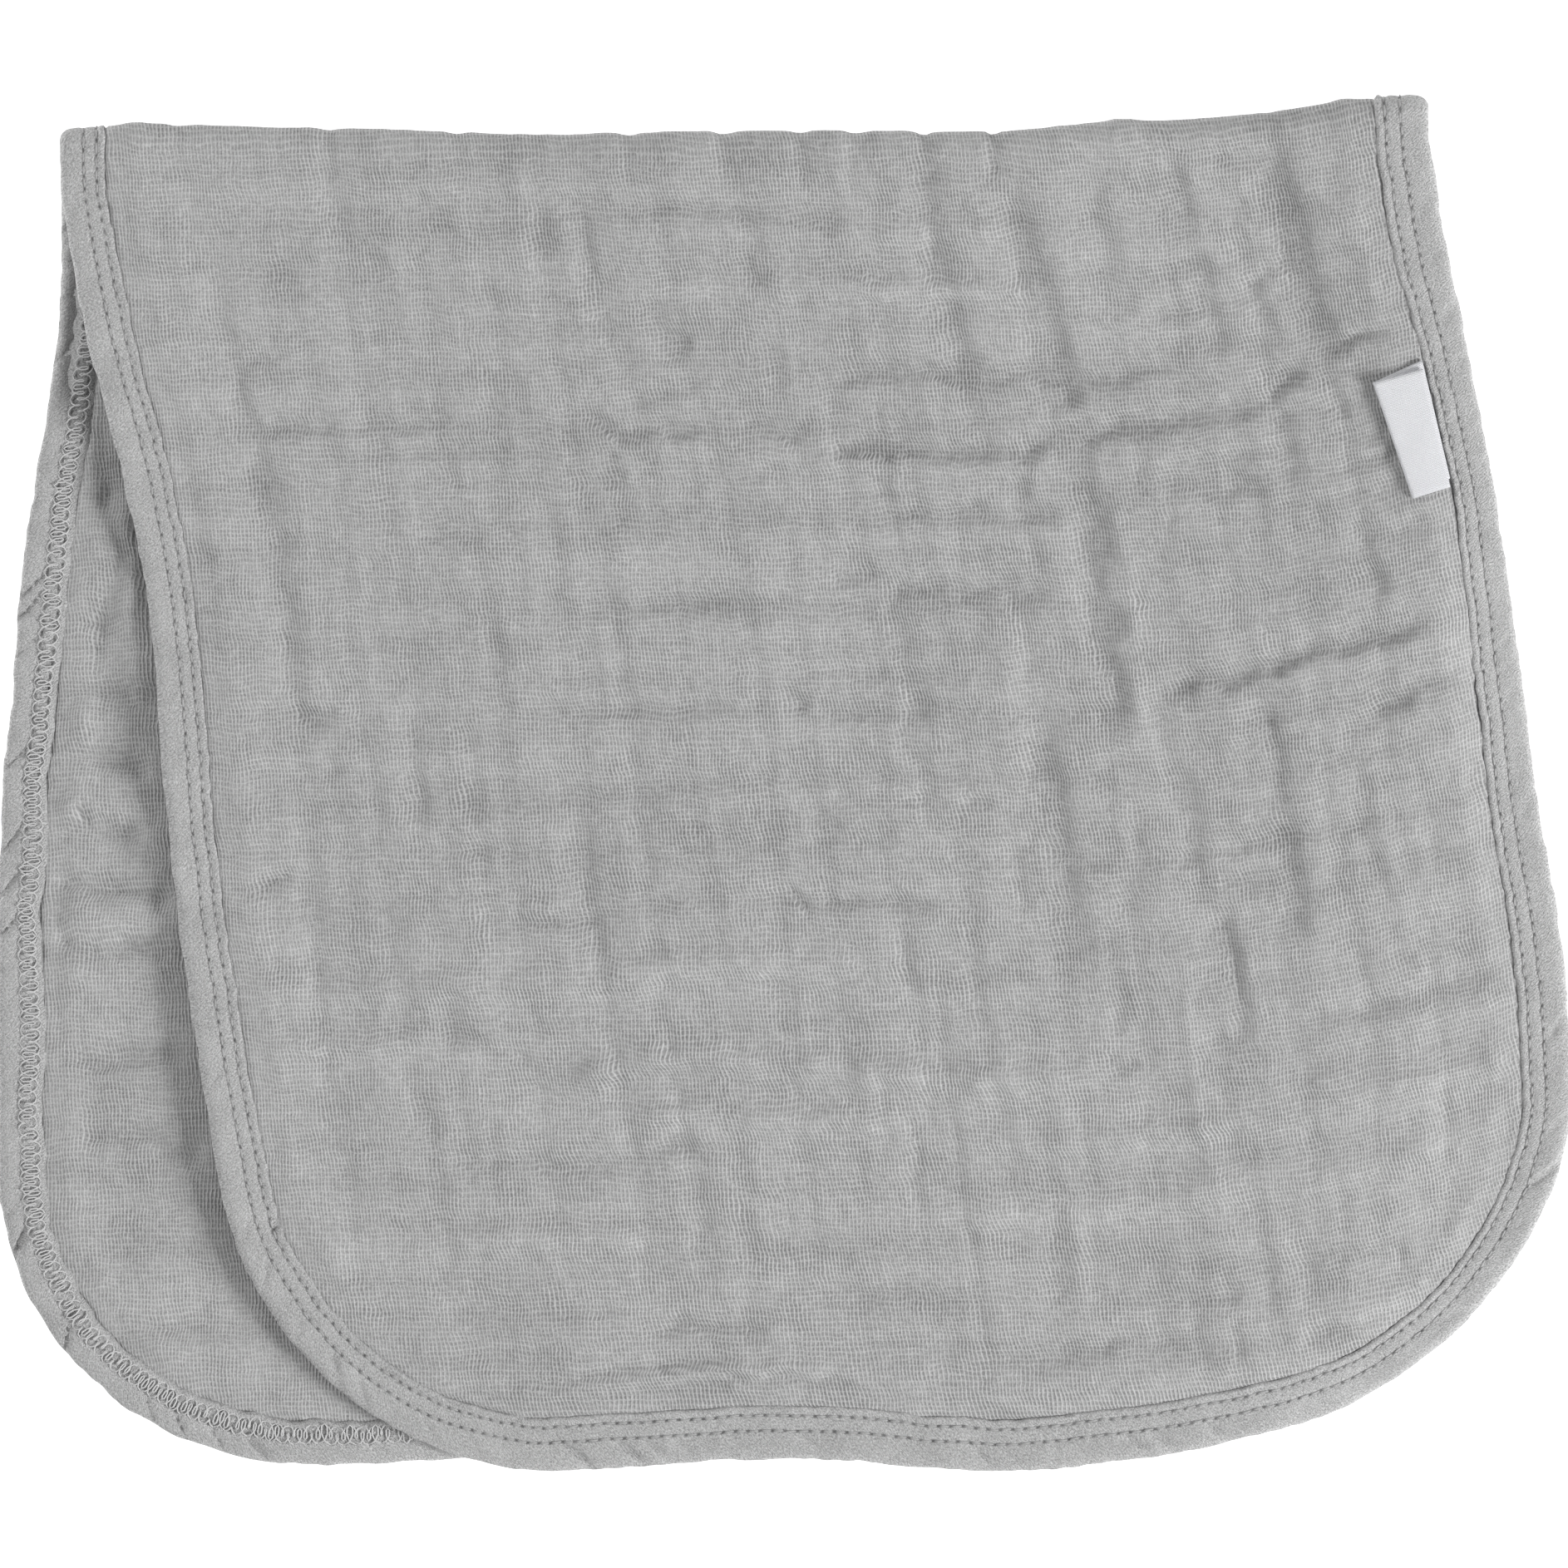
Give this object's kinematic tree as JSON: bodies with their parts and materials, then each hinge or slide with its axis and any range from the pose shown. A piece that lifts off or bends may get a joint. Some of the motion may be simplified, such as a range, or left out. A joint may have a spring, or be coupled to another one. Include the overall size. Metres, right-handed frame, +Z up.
{
  "type": "burp cloth",
  "caption": "Soft grey gauze burp cloth with rounded ends and a sewn binding, folded in half across and lying flat.",
  "frame": {"origin": "middle of the folded cloth's outline in plan, on the surface that it lies on", "axes": "+Z up out of the face side, +X to the right across the cloth, +Y towards the fold"},
  "size_m": [0.292, 0.255, 0.0094],
  "materials": {
    "gauze": "puckered open-weave cotton gauze, matt",
    "tape": "close-woven cotton tape, matt",
    "label": "fine woven satin ribbon, slight sheen"
  },
  "bodies": {
    "root": {"cloth": "gauze", "binding": "tape", "label": "label"}
  },
  "joints": []
}
